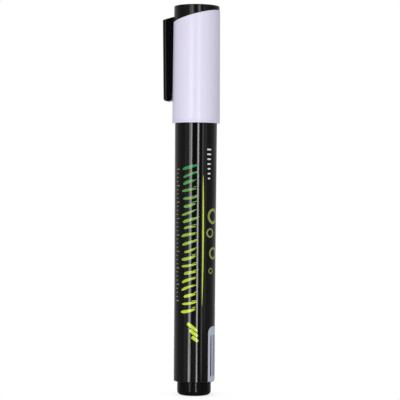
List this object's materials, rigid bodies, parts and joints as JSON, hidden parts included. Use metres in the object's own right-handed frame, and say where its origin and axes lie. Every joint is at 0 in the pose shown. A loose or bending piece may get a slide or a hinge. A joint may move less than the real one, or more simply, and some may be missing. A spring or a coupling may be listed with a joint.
{
  "type": "marker pen",
  "caption": "Round marker pen with a slant-cut push-on cap, a moulded clip, a press-to-flow nib on a sprung valve, a mixing ball in the ink chamber and a flat tail plug to stand on.",
  "frame": {"origin": "centre of the flat foot of the tail plug, on the pen's axis", "axes": "+Z along the pen's axis from the tail to the top of the cap, with the clip on the -X side"},
  "size_m": [0.0206, 0.017, 0.138],
  "materials": {
    "gloss_black": "glossy moulded black with a printed decoration",
    "satin_black": "satin moulded black",
    "cap_black": "smooth moulded black",
    "pale_sleeve": "smooth lavender-white with a soft gloss",
    "liner_plastic": "soft milky plastic",
    "natural_plastic": "natural milky moulding",
    "fibre": "pressed polyester fibre",
    "gasket_rubber": "matt rubber",
    "spring_steel": "drawn spring wire",
    "ball_steel": "polished bearing ball"
  },
  "bodies": {
    "pen": {"barrel": "gloss_black", "tail_plug": "satin_black", "nose_cone": "satin_black", "valve_housing": "natural_plastic", "valve_gasket": "gasket_rubber", "valve_spring": "spring_steel", "valve_retainer": "natural_plastic"},
    "cap": {"cap_core": "cap_black", "cap_sleeve": "pale_sleeve", "cap_liner": "liner_plastic"},
    "tip": {"nib": "fibre", "valve_plunger": "natural_plastic"},
    "ball": {"mixing_ball": "ball_steel"}
  },
  "joints": [
    {"name": "cap_pull", "type": "slide", "parent": "pen", "child": "cap", "axis": [0, 0, 1], "range_m": [0, 0.04]},
    {"name": "nib_press", "type": "slide", "parent": "pen", "child": "tip", "axis": [0, 0, -1], "range_m": [0, 0.002], "stiffness_N_per_m": 800, "springref_m": -0.002, "deforming": ["valve_spring"]},
    {"name": "ball_slide", "type": "slide", "parent": "pen", "child": "ball", "axis": [0, 0, 1], "range_m": [0, 0.087]}
  ]
}
